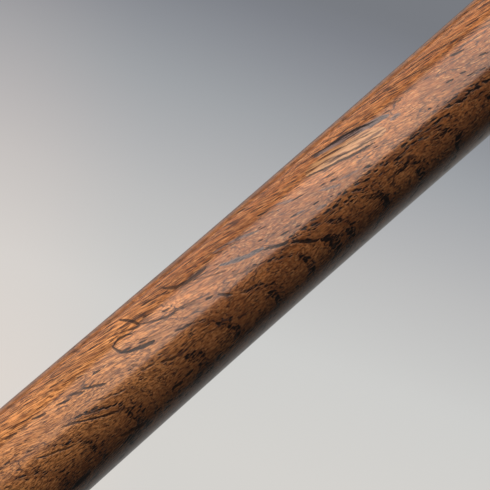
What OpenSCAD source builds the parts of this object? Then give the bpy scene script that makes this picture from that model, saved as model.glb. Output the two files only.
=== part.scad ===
// Straight dip pen holder: a turned hardwood shaft, a pinned brass ferrule, and a sprung steel
// insert that grips a pointed nib.
//
// The pen lies along X with its nib towards -X. It rests on Z = 0, under its grip swell, and X = 0
// and Y = 0 are the middle of its box. Lengths along the pen are measured from the shoulder, where
// the ferrule meets the wood: negative towards the nib and positive towards the tail.

/* [Wooden shaft] */
// Length from the shoulder to the tail end
shaft_length = 145; // [125:1:180]
// Largest diameter of the grip swell
grip_d = 10.8; // [9:0.1:13]
// Distance of the grip swell from the shoulder
grip_at = 22; // [14:1:34]
// Smallest diameter, at the waist
waist_d = 9.6; // [7:0.1:11.5]
// Distance of the waist from the shoulder
waist_at = 92; // [70:1:105]
// Largest diameter of the slight swell near the tail
tail_swell_d = 9.9; // [7:0.1:12]
// Length of the rounded tail behind that swell
tail_round = 13; // [8:0.5:17]
// Diameter of the turned button at the very end
tail_button_d = 5.4; // [4:0.1:6.5]
// Width and depth of the V groove that sets the button off
tail_groove = 0.5; // [0.3:0.05:0.8]
// Length of the tenon that the ferrule is glued to
tenon_length = 11; // [7:0.5:14]
// Chamfer on the end of the tenon
tenon_chamfer = 0.4; // [0.2:0.05:0.8]

/* [Brass ferrule] */
// Length from the mouth to the shoulder
ferrule_length = 24; // [20:0.5:30]
// Wall around the steel insert
mouth_wall = 0.4; // [0.3:0.05:0.9]
// Wall around the wooden tenon
tenon_wall = 0.8; // [0.6:0.05:1.4]
// How far the rear collar stands above the plain barrel
collar_step = 0.3; // [0.1:0.05:0.6]
// Width of the rear collar
collar_width = 1.6; // [0.8:0.1:2.5]
// Radius of each of the turned beads
bead_r = 0.42; // [0.3:0.02:0.6]
// Number of turned beads
bead_count = 2; // [1:1:3]
// Distance of the last bead from the shoulder
bead_at = 7.6; // [6:0.1:8.5]
// Radius that rounds the lip of the mouth
lip_r = 0.18; // [0.1:0.02:0.25]
// Diameter of the brass pin through the ferrule into the tenon
pin_d = 1.2; // [0.8:0.1:1.6]
// Length of that pin
pin_length = 2.8; // [1.8:0.1:3.4]

/* [Steel nib insert] */
// Bore of the insert's sleeve, which sets the size of nib that fits
sleeve_bore = 7.8; // [6.5:0.1:9.5]
// Wall of the sleeve
sleeve_wall = 0.3; // [0.2:0.05:0.4]
// How far the sleeve stands out of the ferrule's mouth
sleeve_proud = 0.5; // [0:0.1:1.5]
// Sheet thickness of the cup and of its leaves
leaf_thickness = 0.22; // [0.15:0.01:0.35]
// Angle that each leaf covers around the axis
leaf_angle = 70; // [50:1:78]
// How far the leaves stand back from the end of the sleeve
leaf_setback = 1.4; // [0.8:0.1:3]
// How far the leaf's root lies inside its sprung crest
leaf_bow = 0.42; // [0.2:0.02:0.6]
// How far the leaf's tip turns in, so that a nib slides over it
leaf_turn_in = 0.4; // [0.2:0.05:0.7]
// Length of the cup's wall, from its floor to the root of the leaves
cup_wall_length = 0.9; // [0.5:0.1:1.6]

/* [Nib] */
// Overall length of the nib
nib_length = 34; // [28:0.5:40]
// Sheet thickness of the nib
nib_thickness = 0.25; // [0.18:0.01:0.32]
// Angle around the axis from the edge of the nib's shank to the leaf beside it
nib_side_gap = 7; // [3:1:14]
// Half width of the shoulders in front of the sleeve
nib_shoulder = 3.3; // [2.8:0.05:3.5]
// Distance of the shoulders from the sleeve's end
nib_shoulder_at = 3.2; // [2:0.1:5]
// How far the tip dips below the back of the nib
nib_dip = 2.3; // [1.5:0.1:2.8]
// Half width of the writing point
nib_point = 0.11; // [0.08:0.01:0.25]
// Diameter of the vent hole
vent_d = 1.5; // [1:0.1:2]
// Distance of the vent hole from the tip
vent_at = 11.5; // [9:0.5:14]
// Width of the slit from the vent hole to the tip
slit_width = 0.09; // [0.06:0.01:0.15]
// Radius of the arc cut into each side of the nib, beside the vent hole
side_cut_r = 3.2; // [2:0.1:5]

/* [Fits] */
// Gap between the nib and the steel on either side of it
nib_clearance = 0.03; // [0.02:0.01:0.06]
// Gap between a free leaf and the sleeve, and between a leaf's root and the cup
leaf_clearance = 0.04; // [0.02:0.01:0.08]

/* [Hidden] */

// Radii, from the nib's seat outwards. Each piece takes its size from the one that it fits.
sleeve_bore_r = sleeve_bore / 2;
sleeve_r = sleeve_bore_r + sleeve_wall;
barrel_r = sleeve_r + mouth_wall;
tenon_r = barrel_r - tenon_wall;
shoulder_r = barrel_r + collar_step;
grip_r = grip_d / 2;
waist_r = waist_d / 2;
tail_swell_r = tail_swell_d / 2;
tail_button_r = tail_button_d / 2;

// Places along the pen
mouth_x = -ferrule_length;
tenon_x = -tenon_length;
sleeve_front_x = mouth_x - sleeve_proud;
cup_floor_x = tenon_x - leaf_thickness;
leaf_root_x = cup_floor_x - cup_wall_length;
leaf_tip_x = sleeve_front_x + leaf_setback;
leaf_length = leaf_root_x - leaf_tip_x;
nib_rear_x = leaf_root_x + leaf_thickness;
nib_tip_x = nib_rear_x - nib_length;
nib_shoulder_x = sleeve_front_x - nib_shoulder_at;
tail_swell_x = shaft_length - tail_round;
tail_button_length = 0.6 * tail_button_r;
leaf_hinge_x = leaf_root_x - leaf_clearance;

// Radii of the leaves and of the nib
leaf_crest_r = sleeve_bore_r - leaf_clearance;
leaf_root_r = leaf_crest_r - leaf_bow;
leaf_crest_at = 0.72; // the crest's share of the leaf's length
// A leaf bends about the line through the inner corners of its root
leaf_hinge_r = (leaf_root_r - leaf_thickness) * cos(leaf_angle / 2);
nib_r = sleeve_bore_r - nib_clearance;
nib_under_r = nib_r - nib_thickness;
nib_half_angle = 90 - leaf_angle / 2 - nib_side_gap;

// The leaf under the nib is pressed in until its edges just clear the nib's underside
leaf_half_chord = leaf_crest_r * sin(leaf_angle / 2);
leaf_press = leaf_crest_r * cos(leaf_angle / 2)
           - sqrt(pow(nib_under_r - nib_clearance, 2) - pow(leaf_half_chord, 2));
leaf_press_angle = asin(leaf_press / (leaf_length * leaf_crest_at));

// Turned details of the ferrule
bead_sink = bead_r * 0.35; // how far each bead's centre lies below the barrel
bead_half_width = sqrt(bead_r * bead_r - bead_sink * bead_sink);
bead_pitch = 2 * bead_half_width + 0.12;
collar_groove = 0.12; // width and depth of the step in front of the collar
flare_x = -bead_at + bead_half_width;
flare_end_x = -collar_width - collar_groove;
pin_x = (flare_x + flare_end_x) / 2;
pin_proud = 0.1; // the pin's head stands this far out of the flare
pin_end_r = barrel_r - pin_length;

// Details of the nib's outline
nib_corner = 0.8; // radius of the rear corners
nib_hollow = 1.6; // above 1, the sides run in hollow to a slender tip
side_cut_depth = 0.4; // how far each side arc cuts into the blade

// The whole pen's place in its own frame
rest_z = max(shoulder_r, grip_r, waist_r, tail_swell_r);
middle_x = (nib_tip_x + shaft_length) / 2;

// Steps of the turned curves
profile_step = 2;
arc_steps = 8;
leaf_steps = 12;
nib_steps = 14;

// Colours
wood_colour = "#8a4f2a";
brass_colour = "#c9a14a";
sleeve_colour = "#b9bcc0";
leaf_colour = "#9fa3a8";
nib_colour = "#8d9097";

function mix(a, b, t) = a + (b - a) * t;
function ease(t) = (1 - cos(180 * t)) / 2;

// Points [radius, x] of an arc about [radius, x] = centre, from angle a0 to angle a1
function arc(centre, r, a0, a1, steps = arc_steps) =
    [for (i = [0:steps]) centre + r * [sin(mix(a0, a1, i / steps)), cos(mix(a0, a1, i / steps))]];

// Radius of the wood at x: shoulder, grip swell, waist and tail swell joined by smooth curves
function shaft_radius(x) =
    x < grip_at ? mix(shoulder_r, grip_r, ease(x / grip_at))
    : x < waist_at ? mix(grip_r, waist_r, ease((x - grip_at) / (waist_at - grip_at)))
    : mix(waist_r, tail_swell_r, ease((x - waist_at) / (tail_swell_x - waist_at)));

// Lays a piece that was built on the Z axis along the pen
module along_pen() rotate([0, 90, 0]) children();

// A piece turned from an outline of [radius, x] points
module turned(outline) along_pen() rotate_extrude($fn = 96) polygon(outline);

// Turns a piece from the top of the pen to another side: 0 is the top, 90 is +Y
module to_side(angle) rotate([-angle, 0, 0]) children();

// From lengths along the pen to its own frame
module placed() translate([-middle_x, 0, rest_z]) children();

// A round space for the ferrule's pin on the -Y side, from a radius inwards
module pin_space(from_r, length) {
    translate([pin_x, -from_r, 0])
        rotate([-90, 0, 0])
            cylinder(d = pin_d, h = length, $fn = 32);
}

module shaft() {
    body = [for (x = [0:profile_step:tail_swell_x - 1]) [shaft_radius(x), x]];
    // A quarter of an ellipse from the tail swell down to the groove
    groove_x = shaft_length - tail_button_length;
    tail = [for (i = [0:2 * arc_steps])
        let (a = 90 * i / (2 * arc_steps))
            [mix(tail_button_r + tail_groove / 2, tail_swell_r, cos(a)),
             mix(tail_swell_x, groove_x - tail_groove, sin(a))]];
    groove = [[tail_button_r - tail_groove, groove_x - tail_groove / 2],
              [tail_button_r - tail_groove / 2, groove_x]];
    button = [for (i = [1:arc_steps])
        let (a = 90 * i / arc_steps)
            [(tail_button_r - tail_groove / 2) * cos(a), mix(groove_x, shaft_length, sin(a))]];
    color(wood_colour)
        difference() {
            turned(concat(
                [[0, tenon_x], [tenon_r - tenon_chamfer, tenon_x], [tenon_r, tenon_x + tenon_chamfer],
                 [tenon_r, 0]],
                body, tail, groove, button));
            pin_space(shoulder_r, shoulder_r - pin_end_r);
        }
}

// Radius of the ferrule at x, from the last bead to the step in front of the collar
function flare_radius(x) =
    mix(barrel_r, shoulder_r - collar_groove, ease((x - flare_x) / (flare_end_x - flare_x)));

module ferrule() {
    lip = arc([barrel_r - lip_r, mouth_x + lip_r], lip_r, 180, 90);
    beads = [for (i = [bead_count - 1:-1:0])
        each arc([barrel_r - bead_sink, -bead_at - i * bead_pitch], bead_r,
                 180 - asin(bead_sink / bead_r), asin(bead_sink / bead_r))];
    flare = [for (i = [0:arc_steps])
        let (x = mix(flare_x, flare_end_x, i / arc_steps)) [flare_radius(x), x]];
    collar = [[shoulder_r, -collar_width], [shoulder_r, 0]];
    bore = [[tenon_r, 0], [tenon_r, tenon_x], [sleeve_r, tenon_x], [sleeve_r, mouth_x]];
    color(brass_colour)
        difference() {
            turned(concat(lip, beads, flare, collar, bore));
            pin_space(shoulder_r, shoulder_r);
        }
}

module ferrule_pin() {
    head_r = flare_radius(pin_x) + pin_proud;
    color(brass_colour) pin_space(head_r, head_r - pin_end_r);
}

module insert_sleeve() {
    rim_r = sleeve_wall / 2;
    rim = arc([sleeve_r - rim_r, sleeve_front_x + rim_r], rim_r, 270, 90);
    color(sleeve_colour) turned(concat(rim, [[sleeve_r, tenon_x], [sleeve_bore_r, tenon_x]]));
}

module insert_cup() {
    wall = [[leaf_root_r - leaf_thickness, cup_floor_x], [leaf_root_r - leaf_thickness, leaf_root_x],
            [leaf_root_r, leaf_root_x], [leaf_root_r, cup_floor_x]];
    floor_edge = [[sleeve_bore_r, cup_floor_x], [sleeve_bore_r, tenon_x]];
    color(leaf_colour)
        turned(concat([[0, cup_floor_x]], wall, floor_edge, [[0, tenon_x]]));
}

// Outer radius of a leaf at a share t of its length from the root
function leaf_radius(t) =
    t < leaf_crest_at ? mix(leaf_root_r, leaf_crest_r, ease(t / leaf_crest_at))
    : leaf_crest_r - leaf_turn_in * (1 - cos(90 * (t - leaf_crest_at) / (1 - leaf_crest_at)));

// One sprung leaf at the top of the insert, pressed in by an angle about its root
module leaf_at_top(press = 0) {
    back = [for (i = [0:leaf_steps])
        let (t = i / leaf_steps) [leaf_radius(t), mix(leaf_hinge_x, leaf_tip_x, t)]];
    under = [for (i = [leaf_steps:-1:0]) back[i] - [leaf_thickness, 0]];
    translate([leaf_hinge_x, 0, leaf_hinge_r])
        rotate([0, -press, 0])
            translate([-leaf_hinge_x, 0, -leaf_hinge_r])
                along_pen()
                    rotate([0, 0, 180 - leaf_angle / 2])
                        rotate_extrude(angle = leaf_angle, $fn = 96)
                            polygon(concat(back, under));
}

module leaf(side, press = 0) color(leaf_colour) to_side(side) leaf_at_top(press);

// Share of the way from the nib's shoulders to its tip
function nib_share(x) = max(0, (nib_shoulder_x - x) / (nib_shoulder_x - nib_tip_x));
function nib_radius(x) = nib_r - nib_dip * pow(nib_share(x), 1.5);

// Half width of the nib in front of its shoulders
function blade_half_width(x) =
    nib_point + (nib_shoulder - nib_point) * pow(cos(90 * nib_share(x)), nib_hollow);

// The nib's outline, seen from above
module nib_outline() {
    shank = nib_r * sin(nib_half_angle);
    neck_x = sleeve_front_x - nib_clearance;
    rear = [for (i = [0:arc_steps])
        let (a = 90 * i / arc_steps)
            [nib_rear_x - nib_corner * (1 - cos(a)), shank - nib_corner * (1 - sin(a))]];
    neck = [for (i = [0:arc_steps])
        let (t = i / arc_steps) [mix(neck_x, nib_shoulder_x, t), mix(shank, nib_shoulder, ease(t))]];
    blade = [for (i = [1:nib_steps])
        let (x = mix(nib_shoulder_x, nib_tip_x, i / nib_steps)) [x, blade_half_width(x)]];
    half = concat(rear, neck, blade);
    other_half = [for (i = [len(half) - 1:-1:0]) [half[i].x, -half[i].y]];
    polygon(concat(half, other_half));
}

// The nib's sheet: half of a tube that narrows towards the tip
module nib_shell() {
    past_rear = [[nib_r, nib_rear_x + 1]];
    back = [for (i = [0:nib_steps])
        let (x = mix(nib_shoulder_x, nib_tip_x, i / nib_steps)) [nib_radius(x), x]];
    past_tip = [[nib_radius(nib_tip_x), nib_tip_x - 1]];
    outer = concat(past_rear, back, past_tip);
    inner = [for (i = [len(outer) - 1:-1:0]) outer[i] - [nib_thickness, 0]];
    along_pen()
        rotate([0, 0, 90])
            rotate_extrude(angle = 180, $fn = 96)
                polygon(concat(outer, inner));
}

module nib() {
    vent_x = nib_tip_x + vent_at;
    color(nib_colour)
        difference() {
            intersection() {
                nib_shell();
                linear_extrude(nib_r + 1) nib_outline();
            }
            translate([vent_x, 0, 0]) cylinder(d = vent_d, h = nib_r + 1, $fn = 48);
            translate([nib_tip_x - 1, -slit_width / 2, 0]) cube([vent_at + 1, slit_width, nib_r + 1]);
            for (side = [-1, 1])
                translate([vent_x, side * (blade_half_width(vent_x) + side_cut_r - side_cut_depth), -1])
                    cylinder(r = side_cut_r, h = nib_r + 2, $fn = 64);
        }
}

placed() shaft();
placed() ferrule();
placed() ferrule_pin();
placed() insert_sleeve();
placed() insert_cup();
placed() leaf(0, leaf_press_angle);  // leaf_top
placed() leaf(270);  // leaf_left
placed() leaf(180);  // leaf_bottom
placed() leaf(90);  // leaf_right
placed() nib();
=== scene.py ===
"""Looks for a turned dip pen holder: oiled hardwood, a pinned brass ferrule and a sprung steel insert
with its nib. Lengths along the pen are in millimetres from the shoulder, where the brass meets the wood,
positive towards the tail. Angles round the pen are in degrees from its top towards -Y."""
import math
from types import SimpleNamespace

import bpy
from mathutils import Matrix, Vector


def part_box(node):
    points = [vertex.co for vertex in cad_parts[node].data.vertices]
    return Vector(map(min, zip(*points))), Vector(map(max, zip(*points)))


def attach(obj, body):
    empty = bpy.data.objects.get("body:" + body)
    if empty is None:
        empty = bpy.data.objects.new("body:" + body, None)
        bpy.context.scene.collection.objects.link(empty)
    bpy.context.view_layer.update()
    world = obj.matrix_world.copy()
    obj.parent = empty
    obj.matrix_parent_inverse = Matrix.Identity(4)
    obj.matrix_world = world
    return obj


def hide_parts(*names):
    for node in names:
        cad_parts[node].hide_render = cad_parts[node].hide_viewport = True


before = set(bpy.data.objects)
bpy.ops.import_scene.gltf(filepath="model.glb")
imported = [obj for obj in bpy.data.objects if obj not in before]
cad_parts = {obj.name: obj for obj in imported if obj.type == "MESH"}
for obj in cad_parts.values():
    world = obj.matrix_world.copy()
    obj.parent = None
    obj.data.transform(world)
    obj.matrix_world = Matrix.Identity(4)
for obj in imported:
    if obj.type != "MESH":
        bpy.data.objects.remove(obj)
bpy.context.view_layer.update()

MM = 0.001
AXIS_Z = sum(corner.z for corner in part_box("shaft")) / 2
SHOULDER_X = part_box("ferrule")[1].x
TAIL = (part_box("shaft")[1].x - SHOULDER_X) / MM

# The stretch of wood that the camera looks at, and where it looks from
SEEN_AT = 84.0
SEEN_WIDTH = 41.9
SEEN_ABOVE = 1.9  # the pen's axis passes this far below the middle of the view
CAMERA_AZIMUTH = -45.2
CAMERA_ELEVATION = 60.0
CAMERA_DISTANCE = 0.8
FACING = 22.2  # the angle round the pen that faces the camera

# The blank that the shaft was turned from: its growth rings lean from the pen's axis, and their
# noses break the surface along one side
RING_LEAN = 13.8
RING_SIDE = FACING + 38.0
RING_NOSES = (59.4, 64.2, 71.8, 76.8, 81.6, 85.7, 88.6, 90.8, 94.9, 99.3, 103.8)
RING_BEFORE, RING_AFTER = 4.6, 4.2  # how far apart the noses lie before and after those
RING_DRIFT = 3.0  # how far a nose wanders
SURFACE_R = 4.83  # the shaft's radius where the figure is
# The middle of the highlit band, where the wood has fewer pores: partly quieter wood, partly painted sheen
HIGHLIT_BAND_MIDDLE = -1.3  # the middle of the quieter wood, in mm round the pen, downwards from FACING


def place(along, radius=0.0, angle=0.0):
    """A point in the frame from its length along the pen, its radius and its angle round the pen."""
    a = math.radians(angle)
    return Vector((SHOULDER_X + along * MM, -radius * MM * math.sin(a), AXIS_Z + radius * MM * math.cos(a)))


# ---------------------------------------------------------------- node trees


class Nodes:
    """Adds nodes to one tree. An input may be a socket to link from or a value to set on it."""

    def __init__(self, tree):
        self.tree = tree

    def put(self, kind, inputs=None, **settings):
        node = self.tree.nodes.new(kind)
        for name, value in settings.items():
            setattr(node, name, value)
        for name, value in (inputs or {}).items():
            self.feed(node.inputs[name], value)
        return node

    def feed(self, socket, value):
        if isinstance(value, bpy.types.NodeSocket):
            self.tree.links.new(value, socket)
        else:
            socket.default_value = value

    def math(self, operation, *values):
        return self.put("ShaderNodeMath", dict(enumerate(values)), operation=operation).outputs[0]

    def times(self, first, second):
        return self.math("MULTIPLY", first, second)

    def most(self, *values):
        found = values[0]
        for value in values[1:]:
            found = self.math("MAXIMUM", found, value)
        return found

    def vector(self, operation, *values):
        node = self.put("ShaderNodeVectorMath", dict(enumerate(values)), operation=operation)
        return node.outputs["Value" if operation in ("LENGTH", "DOT_PRODUCT") else "Vector"]

    def parts(self, vector):
        return self.put("ShaderNodeSeparateXYZ", {"Vector": vector}).outputs

    def join(self, x, y, z):
        return self.put("ShaderNodeCombineXYZ", {"X": x, "Y": y, "Z": z}).outputs[0]

    def span(self, value, low, high, to_low=0.0, to_high=1.0, smooth=True):
        inputs = {"Value": value, "From Min": low, "From Max": high, "To Min": to_low, "To Max": to_high}
        style = "SMOOTHSTEP" if smooth else "LINEAR"
        return self.put("ShaderNodeMapRange", inputs, interpolation_type=style).outputs[0]

    def noise(self, vector, scale=1.0, detail=2.0, roughness=0.5):
        inputs = {"Vector": vector, "Scale": scale, "Detail": detail, "Roughness": roughness}
        return self.put("ShaderNodeTexNoise", inputs).outputs["Fac"]

    def streaks(self, place, waves, detail=2.0, roughness=0.5):
        """Noise with so many waves to the mm in each direction."""
        return self.noise(self.vector("MULTIPLY", place, Vector(waves)), 1.0, detail, roughness)

    def crossings(self, wave, inner, outer):
        """Thin lines where a noise passes its middle."""
        return self.span(self.math("ABSOLUTE", self.math("SUBTRACT", wave, 0.5)), inner, outer, 1.0, 0.0)

    def stir(self, vector, at, scale, amount):
        """Moves a place about by soft noise read at another place."""
        wave = self.put("ShaderNodeTexNoise", {"Vector": at, "Scale": scale, "Detail": 1.0}).outputs["Color"]
        push = self.vector("SUBTRACT", wave, Vector((0.5, 0.5, 0.5)))
        return self.vector("ADD", vector, self.vector("MULTIPLY", push, Vector((amount,) * 3)))

    def mix(self, share, first, second, blend="MIX"):
        """Blends two colours; the RGBA sockets of a Mix node are inputs 6 and 7, and output 2."""
        node = self.put("ShaderNodeMix", data_type="RGBA", blend_type=blend)
        for index, value in ((0, share), (6, first), (7, second)):
            self.feed(node.inputs[index], value)
        return node.outputs[2]

    def ramp(self, share, stops):
        """Blends from stop to stop; each is a position with a colour or a plain level of grey."""
        node = self.put("ShaderNodeValToRGB", {"Fac": share})
        band = node.color_ramp
        while len(band.elements) < len(stops):
            band.elements.new(0.5)
        for element, (position, shade) in zip(band.elements, stops):
            element.position = position
            colour = shade if isinstance(shade, tuple) else (shade, shade, shade)
            element.color = (*colour, 1.0)[:4]
        return node.outputs["Color"]


def tone(red, green, blue):
    """A colour seen on screen (0 to 255) as the linear colour that a shader wants."""
    shares = [value / 255 for value in (red, green, blue)]
    linear = [v / 12.92 if v < 0.0404 else ((v + 0.055) / 1.055) ** 2.4 for v in shares]
    return (*linear, 1.0)


def effect(name, inputs, outputs):
    """An empty node group with its sockets; returns its Nodes, what it is given and what it puts out."""
    group = bpy.data.node_groups.new(name, "ShaderNodeTree")
    for side, sockets in (("INPUT", inputs), ("OUTPUT", outputs)):
        for label, (kind, value) in sockets.items():
            socket = group.interface.new_socket(name=label, in_out=side, socket_type="NodeSocket" + kind)
            if value is not None and side == "INPUT":
                socket.default_value = value
    nodes = Nodes(group)
    return nodes, nodes.put("NodeGroupInput").outputs, nodes.put("NodeGroupOutput").inputs


def use(n, name, **values):
    """Adds a node group; its inputs are given in plain words with _ for a space."""
    node = n.put("ShaderNodeGroup", node_tree=bpy.data.node_groups[name])
    for label, value in values.items():
        n.feed(node.inputs[label.replace("_", " ").capitalize()], value)
    return node.outputs


def material(name):
    """A new material; returns it, its Nodes and its Principled shader."""
    found = bpy.data.materials.new(name)
    found.use_nodes = True
    return found, Nodes(found.node_tree), found.node_tree.nodes["Principled BSDF"]


def glow(name, colour):
    """A new material that only glows; returns it, its Nodes and its Emission shader."""
    found = bpy.data.materials.new(name)
    found.use_nodes = True
    found.node_tree.nodes.clear()
    n = Nodes(found.node_tree)
    light = n.put("ShaderNodeEmission", {"Color": colour})
    n.put("ShaderNodeOutputMaterial", {"Surface": light.outputs[0]})
    return found, n, light


def pen_place(n, roll=0.0, lean=0.0):
    """Millimetres along and across the pen, turned by roll about its axis and leaned from it."""
    here = n.put("ShaderNodeTexCoord").outputs["Object"]
    moved = n.vector("SUBTRACT", here, Vector((SHOULDER_X, 0, AXIS_Z)))
    rotation = (-math.radians(roll), math.radians(lean), 0)
    turned = n.put("ShaderNodeMapping", {"Vector": moved, "Rotation": rotation, "Scale": (1 / MM,) * 3})
    return turned.outputs[0]


# ---------------------------------------------------------------- wood


def stroke_effect():
    """One tapered stroke of the wood's figure on the unrolled surface, in mm, laid over the ones before it.
    Along is the stroke's run shared by its length squared; Across is its unit normal."""
    n, given, out = effect(
        "Figure stroke",
        {"Surface": ("Vector", None), "Start": ("Vector", None), "Along": ("Vector", None),
         "Across": ("Vector", None), "Bow": ("Float", 0.0), "Half width": ("Float", 0.2),
         "Depth": ("Float", 1.0), "Under": ("Float", 0.0)},
        {"Mask": ("Float", None)},
    )
    away = n.vector("SUBTRACT", given["Surface"], given["Start"])
    share = n.vector("DOT_PRODUCT", away, given["Along"])
    arch = n.times(share, n.math("MULTIPLY_ADD", share, -4.0, 4.0))
    off = n.vector("DOT_PRODUCT", away, given["Across"])
    off = n.math("MULTIPLY_ADD", arch, n.times(given["Bow"], -1.0), off)
    full = n.math("POWER", n.most(arch, 0.0), 0.4)
    half = n.most(n.times(full, given["Half width"]), 0.001)
    near = n.math("DIVIDE", n.math("ABSOLUTE", off), half)
    mask = n.times(n.span(near, 0.5, 1.15, 1.0, 0.0), given["Depth"])
    n.feed(out["Mask"], n.most(mask, given["Under"]))


def dash_effect():
    """Short dark cells that lie along the grain: the cut ends of the wood's vessels."""
    n, given, out = effect(
        "Vessel dashes",
        {"Grain": ("Vector", None), "Length": ("Float", 1.0), "Width": ("Float", 0.2),
         "Share": ("Float", 0.3), "Reach": ("Float", 0.3)},
        {"Mask": ("Float", None)},
    )
    across = n.math("DIVIDE", 1.0, given["Width"])
    scale = n.join(n.math("DIVIDE", 1.0, given["Length"]), across, across)
    shrunk = n.vector("MULTIPLY", given["Grain"], scale)
    cells = n.put("ShaderNodeTexVoronoi", {"Vector": shrunk, "Scale": 1.0}).outputs
    tint = n.parts(cells["Color"])
    chosen = n.span(n.math("SUBTRACT", given["Share"], tint["X"]), 0.0, 0.08)
    reach = n.math("MULTIPLY_ADD", tint["Y"], 0.2, given["Reach"])
    inside = n.span(n.math("DIVIDE", cells["Distance"], reach), 0.75, 1.05, 1.0, 0.0)
    n.feed(out["Mask"], n.times(inside, chosen))


# The figure's own strokes: where each starts and ends (mm along, degrees from the side that faces the
# camera, positive downwards), its bow and half width in mm, and its strength
BLACK_STROKES = (
    (69.5, -30, 67.3, -33, 0.40, 0.17, 0.9), (67.4, -36, 67.9, -18, 0.30, 0.20, 0.9),
    (67.8, -20, 70.4, -10, 0.15, 0.22, 0.95), (68.0, -30, 71.4, -11, 0.15, 0.05, 0.7),
    (69.9, -57, 70.5, -32, -0.1, 0.22, 0.9), (69.5, -37, 70.5, -33, 0.1, 0.16, 0.85),
    (70.5, -34, 73.8, -18, 0.3, 0.13, 0.85), (73.1, -23, 75.8, -14, 0.1, 0.10, 0.65),
    (73.3, -21, 75.6, -13, 0.15, 0.07, 0.6), (74.6, -51, 75.8, -36, 0.2, 0.28, 0.85),
    (75.2, -39, 78.6, -34, 0.2, 0.25, 0.85), (76.5, -33, 79.6, -15, 0.1, 0.09, 0.6),
    (77.2, -33, 79.5, -23, 0.1, 0.08, 0.5), (54.6, -34, 55.8, -30, 0, 0.16, 0.85),
    (56.0, -32, 56.9, -29, 0, 0.14, 0.8), (57.5, -31, 58.9, -26, 0, 0.17, 0.85),
    (59.9, -25, 61.2, -20, 0, 0.13, 0.85), (61.4, -23, 62.7, -17, 0, 0.13, 0.85),
    (62.7, -21, 64.5, -9, 0, 0.17, 0.9), (55.2, 0, 59.1, 16, 0.1, 0.12, 0.85),
    (58.8, -5, 60.2, 1, 0, 0.11, 0.8), (59.8, -2, 63.9, 19, 0.1, 0.13, 0.9),
    (60.7, -4, 63.9, 12, 0.1, 0.11, 0.85), (62.5, -5, 65.6, 8, 0.1, 0.09, 0.7),
    (67.5, 4, 69.1, 7, 0, 0.12, 0.8), (69.4, 10, 71.0, 17, 0, 0.16, 0.85),
    (72.2, -3, 74.2, 3, 0, 0.12, 0.85), (77.3, -3, 78.4, 7, 0, 0.16, 0.85),
    (79.0, 11, 80.0, 16, 0, 0.14, 0.8), (79.6, -7, 82.4, 2, 0.1, 0.09, 0.6),
    (93.4, -51, 98.8, -34, -0.15, 0.17, 1.0), (90.8, -37, 97.4, -14, 0.15, 0.15, 0.9),
    (92.8, -35, 98.2, -16, 0.1, 0.10, 0.8), (92.6, -43, 98.4, -22, -0.1, 0.09, 0.7),
    (97.4, -67, 106.6, -37, -0.3, 0.11, 0.85), (101.4, -67, 110.4, -41, -0.2, 0.11, 0.85),
    (99.0, -48, 100.6, -41, 0, 0.07, 0.6), (100.4, -40, 102.0, -31, 0, 0.15, 0.7),
    (83.4, -7, 85.5, 3, 0.2, 0.17, 0.85), (85.7, 6, 87.8, 24, 0.1, 0.20, 0.95),
    (56.6, 52, 58.9, 51, 0, 0.28, 0.9), (62.8, 42, 65.4, 51, 0, 0.22, 0.8),
    (69.0, 41, 70.3, 42, 0, 0.22, 0.95), (70.6, 40, 71.7, 40, 0, 0.20, 0.95),
)
GREY_STROKES = (
    (79.3, -25, 83.4, -8, 0.2, 0.27, 1.0), (79.8, -41, 84.2, -25, -0.2, 0.18, 0.85),
    (87.0, -35, 88.5, -25, 0, 0.18, 0.7), (86.9, -14, 88.5, -9, 0, 0.14, 0.7),
    (89.2, -2, 90.3, 0, 0, 0.18, 0.7), (92.8, -50, 100.2, -27, -0.15, 0.46, 1.0),
    (99.8, -22, 101.0, -20, 0, 0.24, 0.8), (90.5, -15, 92.5, -5, 0, 0.16, 0.7),
    (92.5, -10, 94.6, -4, 0, 0.13, 0.6), (94.8, -11, 96.1, -8, 0, 0.12, 0.6),
)
PALE_STROKES = ((90.9, -38, 99.0, -18, -0.3, 0.95, 0.9), (84.6, -8, 86.2, 2, 0, 0.12, 0.5))
ARCS = (
    (76.3, 29, 77.0, 46, -0.4, 0.45, 0.9), (81.0, 30, 81.6, 50, -0.4, 0.45, 0.9),
    (85.3, 22, 85.9, 52, -0.4, 0.40, 0.9), (88.0, 24, 88.9, 54, -0.5, 0.75, 1.2),
    (90.3, 36, 91.0, 50, -0.2, 0.50, 1.0), (93.7, 24, 94.9, 54, -0.6, 0.50, 1.2),
    (98.8, 36, 99.3, 50, -0.2, 0.60, 1.0), (101.6, 23, 103.4, 25, 0.0, 0.30, 0.9),
    (104.4, 36, 103.4, 56, 0.2, 0.45, 0.9), (71.5, 22, 72.1, 34, -0.2, 0.40, 1.0),
    (59.3, 18, 59.9, 38, -0.5, 0.35, 0.8), (64.0, 20, 64.6, 36, -0.4, 0.30, 0.7),
    (97.0, 24, 98.4, 26, 0.0, 0.30, 0.9), (92.0, 12, 93.0, 16, 0.0, 0.30, 0.9),
    (83.0, 4, 114.0, 9, 0.3, 0.60, 0.45), (56.0, 50, 80.0, 52, 0.2, 0.50, 0.4),
)


def figure(n, surface, strokes):
    """The strongest of several strokes at each place."""
    mask = 0.0
    for along, turn, to_along, to_turn, bow, half, depth in strokes:
        start = Vector((along, SURFACE_R * math.radians(turn), 0))
        run = Vector((to_along, SURFACE_R * math.radians(to_turn), 0)) - start
        across = Vector((-run.y, run.x, 0)).normalized()
        mask = use(n, "Figure stroke", surface=surface, start=start, along=run / run.length_squared,
                   across=across, bow=bow, half_width=half, depth=depth, under=mask)["Mask"]
    return mask


def dashes(n, grain, length, width, share, reach=0.3):
    """Vessels of one length and width in mm; share is how many of the cells have one, and reach how much
    of its cell a vessel fills."""
    return use(n, "Vessel dashes", grain=grain, length=length, width=width, share=share, reach=reach)["Mask"]


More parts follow.
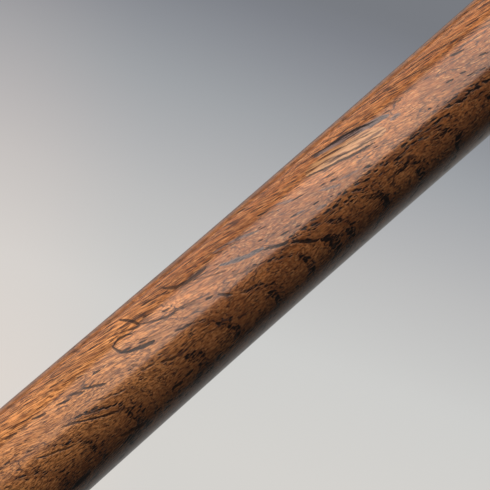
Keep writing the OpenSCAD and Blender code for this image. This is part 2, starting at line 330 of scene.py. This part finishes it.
def wood_places(n):
    """Where a point of the wood is: on the pen, on the unrolled surface (low is downwards from the side that
    faces the camera), straight through the blank, and along its wandering grain. All are in mm."""
    plain = pen_place(n)
    near = n.parts(plain)
    turn = n.math("ARCTAN2", n.times(near["Y"], -1.0), near["Z"])
    low = n.times(n.math("SUBTRACT", turn, math.radians(FACING)), SURFACE_R)
    surface = n.join(near["X"], low, 0.0)
    for scale, amount in ((0.8, 0.25), (5.0, 0.12)):
        surface = n.stir(surface, plain, scale, amount)
    straight = pen_place(n, RING_SIDE, RING_LEAN)
    grain = n.stir(straight, n.vector("MULTIPLY", straight, Vector((0.14, 0.3, 0.3))), 1.0, 1.0)
    return SimpleNamespace(plain=plain, along=near["X"], turn=turn, low=low, surface=surface,
                           straight=straight, level=n.parts(straight)["Z"], grain=grain)


def ring_count(n, nose):
    """Which growth ring a nose position belongs to, counted from the first of RING_NOSES."""
    first, last = RING_NOSES[0], RING_NOSES[-1]
    count = len(RING_NOSES) - 1
    stops = [((at - first) / (last - first), i / count) for i, at in enumerate(RING_NOSES)]
    inside = n.times(n.ramp(n.span(nose, first, last, smooth=False), stops), float(count))
    before = n.math("MINIMUM", n.math("SUBTRACT", nose, first), 0.0)
    after = n.most(n.math("SUBTRACT", nose, last), 0.0)
    outside = n.math("ADD", n.times(before, 1 / RING_BEFORE), n.times(after, 1 / RING_AFTER))
    return n.math("ADD", inside, outside)


def growth_rings(n, at):
    """Each ring's porous early wood and its first edge, and how near the noses' side of the pen is."""
    lean = math.radians(RING_LEAN)
    nose = n.math("MULTIPLY_ADD", at.level, -1 / math.sin(lean), SURFACE_R / math.tan(lean))
    drift = n.streaks(at.plain, (0.25, 0.5, 0.5), 4.0, 0.6)
    nose = n.math("MULTIPLY_ADD", n.math("SUBTRACT", drift, 0.5), RING_DRIFT, nose)
    age = n.math("FRACT", ring_count(n, nose))
    early = n.ramp(age, ((0.0, 1.0), (0.14, 0.8), (0.3, 0.35), (0.55, 0.14), (0.92, 0.08), (1.0, 0.5)))
    edge = n.ramp(age, ((0.0, 1.0), (0.14, 0.9), (0.28, 0.0), (0.97, 0.0), (1.0, 1.0)))
    side = n.math("COSINE", n.math("SUBTRACT", at.turn, math.radians(RING_SIDE)))
    return SimpleNamespace(early=early, edge=edge, on_nose=n.span(side, 0.6, 0.97))


def wood_marks(n, at, rings):
    """Masks of the vessels, the lines along the fibres and the figure."""
    patch = n.streaks(at.grain, (0.12, 0.5, 0.9))
    clump = n.streaks(at.plain, (0.5, 0.9, 0.9))
    fibre = n.streaks(at.grain, (0.35, 9.0, 9.0), 3.0, 0.66)
    mottle = n.streaks(at.grain, (0.9, 7.5, 7.5))
    # Fewer vessel dashes along the side that faces up, where the highlight lies: partly quieter wood, partly
    # painted sheen that stands in for the gloss hiding the pores
    off_highlit_band = n.math("ABSOLUTE", n.math("SUBTRACT", at.low, HIGHLIT_BAND_MIDDLE))
    calm_and_painted_sheen = n.span(off_highlit_band, 0.7, 1.9, 0.35, 1.0)
    # Vessels lie in rows over most of the wood, and in toothed arcs where the rings break out
    density = n.times(rings.early, n.span(patch, 0.34, 0.62, 0.15, 0.8))
    density = n.times(density, n.math("MULTIPLY_ADD", rings.on_nose, -0.75, 1.0))
    rows = dashes(n, at.grain, 1.7, 0.27, density)
    arcs = figure(n, at.surface, ARCS)
    breaking = n.times(n.times(rings.edge, rings.on_nose), n.span(clump, 0.36, 0.56, 0.15, 0.85))
    breaking = n.most(breaking, n.times(arcs, 1.4))
    teeth = dashes(n, at.grain, 1.2, 0.18, breaking, 0.48)
    core = n.times(n.span(arcs, 0.45, 0.9, 0.0, 0.95), n.span(mottle, 0.44, 0.54, 1.0, 0.15))
    small = n.times(dashes(n, at.grain, 1.5, 0.15, n.span(patch, 0.3, 0.7, 0.46, 0.24)), calm_and_painted_sheen)
    fine = n.times(dashes(n, at.grain, 0.9, 0.09, 0.5, 0.34), calm_and_painted_sheen)
    # Thin lines that follow the fibres
    waves = n.crossings(n.streaks(at.grain, (0.07, 0.9, 0.9)), 0.002, 0.016)
    threads = n.crossings(n.streaks(at.grain, (0.10, 2.4, 2.4)), 0.004, 0.022)
    waves = n.times(waves, n.span(patch, 0.38, 0.50))
    threads = n.times(threads, n.span(clump, 0.40, 0.60, 0.9, 0.2))
    # The figure's strokes, a little broken by the fibres, and the pale wood in its eye, which has few pores
    broken = n.span(fibre, 0.30, 0.50, 0.8, 1.0)
    pale = figure(n, at.surface, PALE_STROKES)
    grey = n.times(figure(n, at.surface, GREY_STROKES), broken)
    black = n.times(figure(n, at.surface, BLACK_STROKES), broken)
    pores = n.times(n.most(n.times(rows, 0.9), teeth), n.math("MULTIPLY_ADD", pale, -0.8, 1.0))
    return SimpleNamespace(
        fibre=fibre, mottle=mottle, off_highlit_band=off_highlit_band, small=small, fine=fine,
        lines=n.most(waves, threads), pale=pale, grey=grey, dark=n.most(pores, black, core),
    )


def wood_colour(n, at, rings, marks):
    """The heartwood's colour, with some painted light on its upper side, laid over by each kind of mark in
    turn.
    """
    slow = n.streaks(at.grain, (0.07, 0.4, 0.6), 3.0)
    dark, middle, light = (0.215, 0.068, 0.020), (0.35, 0.117, 0.034), (0.49, 0.180, 0.056)
    heart = n.ramp(slow, ((0.3, dark), (0.5, middle), (0.7, light)))
    # Lighter golden wood towards the left on the side that faces up: partly the wood's own colour, partly
    # painted light that brightens its highlit side
    golden_and_painted_light = n.span(at.along, 66.0, 80.0, 0.55, 0.0)
    golden_and_painted_light = n.times(golden_and_painted_light, n.span(marks.off_highlit_band, 2.7, 4.6, 1.0, 0.0))
    grit = n.streaks(at.grain, (0.9, 12.0, 12.0), 2.0, 0.6)
    strand = n.streaks(at.straight, (0.10, 5.5, 5.5), 1.0)
    strands = n.mix(n.span(strand, 0.40, 0.55), (0.08, 0.034, 0.016, 1), (0.38, 0.195, 0.088, 1))
    ash = n.mix(n.span(marks.fibre, 0.40, 0.58), (0.014, 0.010, 0.010, 1), (0.105, 0.066, 0.056, 1))
    colour = heart
    for share, shade in (
        (golden_and_painted_light, (0.72, 0.30, 0.095, 1)),
        (n.span(marks.fibre, 0.42, 0.54, 0.88, 0.0), (0.10, 0.034, 0.012, 1)),
        (n.span(grit, 0.50, 0.66, 0.0, 0.6), (0.56, 0.27, 0.105, 1)),
        (n.times(rings.early, 0.45), (0.12, 0.036, 0.012, 1)),
        (n.span(marks.mottle, 0.36, 0.54, 0.6, 0.0), (0.12, 0.038, 0.013, 1)),
        (n.times(marks.fine, 0.62), (0.05, 0.017, 0.008, 1)),
        (n.times(marks.small, 0.85), (0.024, 0.010, 0.006, 1)),
        (n.times(marks.lines, 0.8), (0.030, 0.012, 0.009, 1)),
        (n.times(marks.pale, 0.85), strands),
        (marks.grey, ash),
        (marks.dark, (0.009, 0.005, 0.004, 1)),
    ):
        colour = n.mix(share, colour, shade)
    return colour


def wood_material():
    """Oiled and polished hardwood: its fibres gleam a little, and its open vessels don't."""
    stroke_effect()
    dash_effect()
    found, n, shader = material("Oiled_hardwood")
    at = wood_places(n)
    rings = growth_rings(n, at)
    marks = wood_marks(n, at, rings)
    n.feed(shader.inputs["Base Color"], wood_colour(n, at, rings, marks))
    n.feed(shader.inputs["Roughness"], n.span(marks.fibre, 0.3, 0.7, 0.12, 0.20))
    hollow = n.most(marks.dark, n.times(marks.grey, 0.8))
    n.feed(shader.inputs["Metallic"], n.math("MULTIPLY_ADD", hollow, -0.32, 0.34))
    n.feed(shader.inputs["Coat Weight"], n.math("MULTIPLY_ADD", marks.dark, -0.65, 0.85))
    shader.inputs["IOR"].default_value = 1.45
    shader.inputs["Coat Roughness"].default_value = 0.08
    relief = n.math("SUBTRACT", n.times(marks.fibre, 0.5), marks.dark)
    relief = n.math("SUBTRACT", relief, n.times(marks.small, 0.5))
    bump = n.put("ShaderNodeBump", {"Strength": 0.35, "Distance": 0.04 * MM, "Height": relief})
    n.feed(shader.inputs["Normal"], bump.outputs[0])
    return found


# ---------------------------------------------------------------- metals


# Each metal's polished and dull colours, its roughness, its tool marks to the mm along and across the pen,
# and how many dull patches there are to the mm and how much of the metal they cover
METALS = {
    "Turned_brass": ((0.78, 0.53, 0.22), (0.55, 0.35, 0.14), 0.17, 8.0, 0.12, 0.33, 0.45),
    "Filed_brass_pin": ((0.80, 0.56, 0.25), (0.42, 0.27, 0.11), 0.24, 7.0, 7.0, 1.1, 0.4),
    "Rolled_sleeve_steel": ((0.56, 0.55, 0.53), (0.33, 0.32, 0.30), 0.22, 9.0, 0.2, 0.5, 0.5),
    "Tempered_spring_steel": ((0.34, 0.33, 0.34), (0.22, 0.19, 0.16), 0.24, 0.9, 9.0, 0.7, 0.5),
    "Nib_steel": ((0.62, 0.60, 0.56), (0.40, 0.37, 0.33), 0.16, 0.8, 10.0, 0.5, 0.45),
}
MADE_OF = {
    "Turned_brass": ("ferrule",),
    "Filed_brass_pin": ("ferrule_pin",),
    "Rolled_sleeve_steel": ("insert_sleeve",),
    "Tempered_spring_steel": ("insert_cup", "leaf_top", "leaf_left", "leaf_bottom", "leaf_right"),
    "Nib_steel": ("nib",),
}
# Dried ink ends about here on the nib, counted from the shoulder with its wavering added
INK_TO = -34.5
INK_WAVER = 9.0
SCRATCH_WAYS = ((25, 0.20), (-40, 0.28), (80, 0.24))  # each set's turn, and its waves along a scratch


def tool_mark_effect():
    """The fine marks that a lathe, a roller or a polishing stick leaves, so many to the mm along the pen
    and across it."""
    n, given, out = effect(
        "Tool marks",
        {"Pen": ("Vector", None), "Along": ("Float", 6.0), "Across": ("Float", 0.2)},
        {"Height": ("Float", None), "Tone": ("Float", None)},
    )
    marks = n.vector("MULTIPLY", given["Pen"], n.join(given["Along"], given["Across"], given["Across"]))
    fine = n.noise(marks, 1.0, 3.0, 0.65)
    broad = n.noise(marks, 0.21, 2.0)
    n.feed(out["Height"], n.math("MULTIPLY_ADD", broad, 0.5, n.times(fine, 0.5)))
    n.feed(out["Tone"], n.span(broad, 0.3, 0.7))


def handling_effect():
    """What years of handling do to a metal: dull patches, and fine scratches that run every way."""
    n, given, out = effect(
        "Handling",
        {"Pen": ("Vector", None), "Patch": ("Float", 0.4), "Spread": ("Float", 0.5)},
        {"Dull": ("Float", None), "Scratches": ("Float", None)},
    )
    patchy = n.noise(given["Pen"], given["Patch"], 5.0, 0.6)
    low = n.math("SUBTRACT", 0.66, n.times(given["Spread"], 0.3))
    n.feed(out["Dull"], n.span(patchy, low, n.math("ADD", low, 0.16)))
    lines = 0.0
    for turn, waves in SCRATCH_WAYS:
        rotation = [math.radians(angle) for angle in (turn, turn * 0.7, turn)]
        turned = n.put("ShaderNodeMapping", {"Vector": given["Pen"], "Rotation": rotation,
                                             "Scale": (waves, 7.0, 7.0)})
        lines = n.most(n.crossings(n.noise(turned.outputs[0], 0.35, 1.0), 0.0, 0.006), lines)
    n.feed(out["Scratches"], lines)


def metal_material(name, bright, dull, rough, along, across, patch, spread):
    """A worked metal with tool marks, dull patches and scratches; the nib also carries dried ink."""
    found, n, shader = material(name)
    pen = pen_place(n)
    marks = use(n, "Tool marks", pen=pen, along=along, across=across)
    worn = use(n, "Handling", pen=pen, patch=patch, spread=spread)
    colour = n.mix(worn["Dull"], (*bright, 1), (*dull, 1))
    colour = n.mix(n.times(marks["Tone"], 0.18), colour, (*dull, 1))
    tooled = n.span(marks["Height"], 0.3, 0.7, rough, rough + 0.12)
    roughness = n.math("MULTIPLY_ADD", worn["Dull"], 0.16, tooled)
    metallic = 1.0
    if name == "Nib_steel":
        edge = n.math("MULTIPLY_ADD", n.noise(pen, 0.9, 4.0, 0.6), INK_WAVER, n.parts(pen)["X"])
        dried = n.span(edge, INK_TO, INK_TO + 1.6, 0.9, 0.0)
        colour = n.mix(dried, colour, (0.012, 0.014, 0.026, 1))
        roughness = n.math("MULTIPLY_ADD", dried, 0.12, roughness)
        metallic = n.math("MULTIPLY_ADD", dried, -0.7, 1.0)
    n.feed(shader.inputs["Base Color"], colour)
    n.feed(shader.inputs["Roughness"], n.math("MULTIPLY_ADD", worn["Scratches"], 0.1, roughness))
    n.feed(shader.inputs["Metallic"], metallic)
    relief = n.math("SUBTRACT", marks["Height"], n.times(worn["Scratches"], 0.6))
    bump = n.put("ShaderNodeBump", {"Strength": 0.25, "Distance": 0.02 * MM, "Height": relief})
    n.feed(shader.inputs["Normal"], bump.outputs[0])
    return found


def metals():
    """The turned brass, the rolled sleeve, the spring steel and the nib keep their own exact shapes."""
    tool_mark_effect()
    handling_effect()
    for name, nodes in MADE_OF.items():
        skin = metal_material(name, *METALS[name])
        for node in nodes:
            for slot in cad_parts[node].material_slots:
                slot.link = "OBJECT"
                slot.material = skin


# ---------------------------------------------------------------- pieces


SHAFT_TURNS = 192  # points round the shaft
SHAFT_STEP = 0.5  # mm between rings along its smooth outline
TAIL_DETAIL = 12.5  # the last mm of the tail, with its groove and button, keep the CAD's own rings
TENON_BEVEL = 0.4


def rings_of(node):
    """The radii, in mm, at each length along the pen where a turned CAD node has a ring of points."""
    found = {}
    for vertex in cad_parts[node].data.vertices:
        along = round((vertex.co.x - SHOULDER_X) / MM, 3)
        radius = math.hypot(vertex.co.y, vertex.co.z - AXIS_Z) / MM
        found.setdefault(along, []).append(radius)
    return found


def lathe(name, outline, turns):
    """A closed turned piece from (along, radius) points; a radius of 0 is a pole."""
    vertices, faces, rows = [], [], []
    for along, radius in outline:
        first = len(vertices)
        if radius == 0:
            vertices.append(place(along))
        else:
            vertices.extend(place(along, radius, 360 * i / turns) for i in range(turns))
        rows.append(range(first, len(vertices)))
    for left, right in zip(rows, rows[1:]):
        for i in range(turns):
            here, there = i, (i + 1) % turns
            corners = [row[spot % len(row)] for row, spot in
                       ((left, here), (left, there), (right, there), (right, here))]
            faces.append(list(dict.fromkeys(corners)))
    mesh = bpy.data.meshes.new(name)
    mesh.from_pydata(vertices, [], faces)
    mesh.validate()
    mesh.shade_smooth()
    piece = bpy.data.objects.new(name, mesh)
    bpy.context.scene.collection.objects.link(piece)
    return piece


def smooth_outline(points, step):
    """More points, about a step apart, on a Catmull-Rom curve through (along, radius) points."""
    result = []
    for i in range(len(points) - 1):
        before, a, b = points[max(i - 1, 0)], points[i], points[i + 1]
        after = points[min(i + 2, len(points) - 1)]
        count = max(1, round((b[0] - a[0]) / step))
        for k in range(count):
            t = k / count
            result.append(tuple(
                0.5 * (2 * a[c] + (b[c] - before[c]) * t
                       + (2 * before[c] - 5 * a[c] + 4 * b[c] - after[c]) * t * t
                       + (3 * a[c] - before[c] - 3 * b[c] + after[c]) * t ** 3)
                for c in (0, 1)))
    return result + [points[-1]]


def shaft():
    """The turned wood: its tenon, a smooth outline through the CAD's rings, and the tail's own rings."""
    rings = rings_of("shaft")
    skin = sorted((along, max(radii)) for along, radii in rings.items() if along >= 0)
    swell_at = max(along for along, _ in skin if along < TAIL - TAIL_DETAIL)
    body = smooth_outline([point for point in skin if point[0] <= swell_at], SHAFT_STEP)
    tail = [point for point in skin if point[0] > swell_at]
    end, radius = min(rings), min(rings[0.0])
    tenon = [(end, 0), (end, radius - TENON_BEVEL), (end + TENON_BEVEL, radius), (0, radius)]
    piece = lathe("shaft_wood", tenon + body + tail[:-1] + [(TAIL, 0)], SHAFT_TURNS)
    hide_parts("shaft")
    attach(piece, "holder")
    piece.data.materials.append(wood_material())


# ---------------------------------------------------------------- studio


SENSOR_WIDTH = 36.0

# The softbox hangs this far from the pen, on a line at this angle round it. Its outline is in metres
# along the pen from SEEN_AT and across, and opens out from a rounded end.
SOFTBOX_AWAY = 0.6
SOFTBOX_ANGLE = FACING - 34
SOFTBOX_OUTLINE = ((0.195, -0.12), (0.21, -0.26), (0.38, -0.76), (1.1, -0.76), (1.1, 0.64),
                   (0.40, 0.64), (0.28, 0.43), (0.254, 0.385), (0.225, 0.32), (0.20, 0.20))
# Its light is dim along its edge towards +Y and full over the rest
SOFTBOX_DIM, SOFTBOX_FULL = 0.12, 2.6
SOFTBOX_FADE = (-0.62, -0.22)
# It is also weaker towards the nib, up to a line that lies this far towards the tail for each metre that
# the cloth is away from the pen; the shares of light on both sides of the line, and how soft the line is
SOFTBOX_LEAN = 0.38
SOFTBOX_SHARES = (0.5, 0.84)
SOFTBOX_SOFT = 0.03

# Two plain lights give the pen its form: the angle of each round the pen, and its power
FORM_LIGHTS = (("key", -16.0, 31.0), ("side", -70.0, 46.0))
FORM_LIGHT_AWAY = 1.5
FORM_LIGHT_ACROSS = 0.5
FORM_LIGHT_LEAN = -0.2  # they stand a little towards the nib

# White cards that only the gloss sees: strength, from and to along the pen, counted from the shoulder, and
# the Y and Z of both long edges, all in metres. The last three stand round the brass end.
CARDS = (
    ("far_card", 0.3, -1.2, 1.6, (0.7, -0.2), (0.9, 0.6)),
    ("far_end_card", 0.8, -1.2, 0.15, (0.66, -0.1), (0.84, 0.5)),
    ("near_end_card", 0.7, -1.2, 0.15, (-0.66, -0.1), (-0.84, 0.5)),
    ("overhead_card", 0.9, -1.2, 0.15, (-0.40, 0.65), (0.40, 0.65)),
)
CARD_FADE = 0.15  # a card fades out over this much of its end towards the tail

# The paper under the pen: its height, which way the shade painted into its glow darkens it, and its glowing
# shades by mm that way
PAPER_Z = -0.25
PAPER_SIDE = 24.0
PAPER_TURN = -22.0
PAPER_SHADES = (
    (-60, (213, 211, 207)), (-26, (212, 210, 206)), (-18, (209, 208, 205)), (-10.7, (206, 206, 204)),
    (3, (189, 189, 189)), (10.2, (176, 177, 179)), (18.5, (159, 162, 166)), (25.7, (142, 145, 151)),
    (31.9, (127, 130, 137)), (36, (120, 123, 129)), (60, (120, 123, 129)), (340, (186, 187, 188)),
)
PAPER_PLAIN = PAPER_SHADES[0][1]  # the shade of the paper well away from the pen
# The painted shade holds this close to the middle, and has faded to plain paper by this far
PAPER_PAINTED_SHADE_REACH = (0.05, 0.19)  # the shades hold this close to the middle, and have gone by this far
# Painted warm light on the glowing paper towards the camera's left, and where it fades out
PAPER_PAINTED_WARM_LIGHT = (1.10, 1.045, 1.02, 1)  # how much warmer it is towards the camera's left
PAPER_WARM_LIGHT_AT = (-30.0, -10.0)  # and between which mm to the right that fades out
# How brightly the gloss sees the paper: close to the pen's middle, and further away, with those distances
PAPER_IN_GLOSS = (0.36, 0.07)
PAPER_POOL = (0.12, 0.55)


def camera_axes():
    """The ways to the camera's right, and from the pen to the camera."""
    turn, rise = math.radians(CAMERA_AZIMUTH), math.radians(CAMERA_ELEVATION)
    right = Vector((math.cos(turn), math.sin(turn), 0))
    back = Vector((math.sin(turn) * math.cos(rise), -math.cos(turn) * math.cos(rise), math.sin(rise)))
    return right, back


def camera():
    """Looks down on the wood from the side, with the pen running across the view."""
    right, back = camera_axes()
    up = back.cross(right)
    pen_way = Vector((right.x, up.x)).normalized()
    above = (up * pen_way.x - right * pen_way.y) * SEEN_ABOVE * MM
    data = bpy.data.cameras.new("camera")
    data.sensor_width = SENSOR_WIDTH
    data.lens = SENSOR_WIDTH * CAMERA_DISTANCE / (SEEN_WIDTH * MM)
    data.clip_start = 0.01
    data.clip_end = 100
    found = bpy.data.objects.new("camera", data)
    found.location = place(SEEN_AT) + above + back * CAMERA_DISTANCE
    found.rotation_mode = "QUATERNION"
    found.rotation_quaternion = (-back).to_track_quat("-Z", "Y")
    bpy.context.scene.collection.objects.link(found)
    bpy.context.scene.camera = found


def sheet(name, corners, skin):
    """A flat piece of the studio, which isn't part of the pen. Its own glow doesn't light the pen's
    matt parts."""
    mesh = bpy.data.meshes.new(name)
    mesh.from_pydata(corners, [], [tuple(range(len(corners)))])
    mesh.materials.append(skin)
    found = bpy.data.objects.new(name, mesh)
    bpy.context.scene.collection.objects.link(found)
    found.visible_diffuse = False
    return found


def gloss_only(name, corners, skin):
    """A sheet that shows in nothing but the gloss of the pen."""
    found = sheet(name, corners, skin)
    found.visible_camera = False
    found.visible_shadow = False


def softbox():
    """The large soft light above the wood, which makes its long highlight."""
    found, n, light = glow("Softbox_cloth", (1.0, 0.985, 0.96, 1))
    angle = math.radians(SOFTBOX_ANGLE)
    out = Vector((0, -math.sin(angle), math.cos(angle)))
    across = Vector((0, -math.cos(angle), -math.sin(angle)))
    centre = place(SEEN_AT) + out * SOFTBOX_AWAY
    here = n.put("ShaderNodeNewGeometry").outputs
    rise = n.vector("DOT_PRODUCT", n.vector("SUBTRACT", here["Position"], centre), across)
    strength = n.span(rise, *SOFTBOX_FADE, SOFTBOX_DIM, SOFTBOX_FULL)
    away = n.math("SQRT", n.math("MULTIPLY_ADD", rise, rise, SOFTBOX_AWAY ** 2))
    reach = n.math("SUBTRACT", n.parts(here["Position"])["X"], centre.x)
    reach = n.math("MULTIPLY_ADD", away, -SOFTBOX_LEAN, reach)
    strength = n.times(strength, n.span(reach, -SOFTBOX_SOFT, 0.0, *SOFTBOX_SHARES))
    n.feed(light.inputs["Strength"], n.times(strength, n.math("SUBTRACT", 1.0, here["Backfacing"])))
    gloss_only("softbox", [centre + Vector((x, 0, 0)) + across * y for x, y in SOFTBOX_OUTLINE], found)


def form_light(name, turn, power):
    """A round lamp that lights the matt parts of the pen and doesn't show in its gloss."""
    data = bpy.data.lights.new(name, "AREA")
    data.shape = "DISK"
    data.size = FORM_LIGHT_ACROSS
    data.energy = power
    data.color = (1.0, 0.97, 0.93)
    angle = math.radians(turn)
    out = Vector((FORM_LIGHT_LEAN, -math.sin(angle), math.cos(angle))).normalized()
    found = bpy.data.objects.new(name, data)
    found.location = place(SEEN_AT) + out * FORM_LIGHT_AWAY
    found.rotation_mode = "QUATERNION"
    found.rotation_quaternion = out.to_track_quat("Z", "Y")
    found.visible_glossy = False
    bpy.context.scene.collection.objects.link(found)


def card(name, full, from_x, to_x, first, second):
    """A white card that fades out towards the tail."""
    found, n, light = glow(name, (0.97, 0.98, 1.0, 1))
    along = n.parts(n.put("ShaderNodeNewGeometry").outputs["Position"])["X"]
    end = SHOULDER_X + to_x
    n.feed(light.inputs["Strength"], n.span(along, end - CARD_FADE, end, full, 0.0))
    ends = (from_x, first), (to_x, first), (to_x, second), (from_x, second)
    gloss_only(name, [(SHOULDER_X + x, *edge) for x, edge in ends], found)


def paper():
    """Paper that glows softly, well below the pen: pale on the near side and darker behind, where a shade is
    painted into its glow, with painted warm light towards the left.
    """
    found, n, shader = material("Glowing_paper_painted_shade")
    right, back = camera_axes()
    way = math.radians(CAMERA_AZIMUTH + PAPER_TURN)
    darker = Vector((-math.sin(way), math.cos(way), 0)) / MM
    middle = place(SEEN_AT) - back * (AXIS_Z - PAPER_Z) / back.z
    here = n.vector("SUBTRACT", n.put("ShaderNodeNewGeometry").outputs["Position"], middle)
    first, last = PAPER_SHADES[0][0], PAPER_SHADES[-1][0]
    share = n.span(n.vector("DOT_PRODUCT", here, darker), first, last, smooth=False)
    shades = [((at - first) / (last - first), tone(*shade)) for at, shade in PAPER_SHADES]
    # The paper's glow is painted light: a warm tint towards the camera's left, and a painted shade that
    # darkens it behind the pen
    warm_light_share = n.span(n.vector("DOT_PRODUCT", here, right / MM), *PAPER_WARM_LIGHT_AT, 1.0, 0.0)
    shade = n.mix(warm_light_share, n.ramp(share, shades), PAPER_PAINTED_WARM_LIGHT, "MULTIPLY")
    distance = n.vector("LENGTH", here)
    painted_shade_share = n.span(distance, *PAPER_PAINTED_SHADE_REACH, 1.0, 0.0)
    n.feed(shader.inputs["Emission Color"], n.mix(painted_shade_share, tone(*PAPER_PLAIN), shade))
    dimmed = n.math("SUBTRACT", n.span(distance, *PAPER_POOL, *PAPER_IN_GLOSS), 1.0)
    glossy = n.put("ShaderNodeLightPath").outputs["Is Glossy Ray"]
    n.feed(shader.inputs["Emission Strength"], n.math("MULTIPLY_ADD", glossy, dimmed, 1.0))
    shader.inputs["Base Color"].default_value = (0, 0, 0, 1)
    shader.inputs["Roughness"].default_value = 1.0
    shader.inputs["Specular IOR Level"].default_value = 0.0
    half = PAPER_SIDE / 2
    sheet("paper_floor", [(x, y, PAPER_Z) for x, y in
                          ((-half, -half), (half, -half), (half, half), (-half, half))], found)


def studio():
    """A pale room with one soft highlight along the wood."""
    scene = bpy.context.scene
    scene.view_settings.view_transform = "Standard"
    scene.world = bpy.data.worlds.new("studio")
    scene.world.use_nodes = True
    room = scene.world.node_tree.nodes["Background"]
    room.inputs["Color"].default_value = (0.8, 0.85, 0.9, 1)
    room.inputs["Strength"].default_value = 0.05
    softbox()
    for white in CARDS:
        card(*white)
    for light in FORM_LIGHTS:
        form_light(*light)
    paper()


shaft()
metals()
camera()
studio()
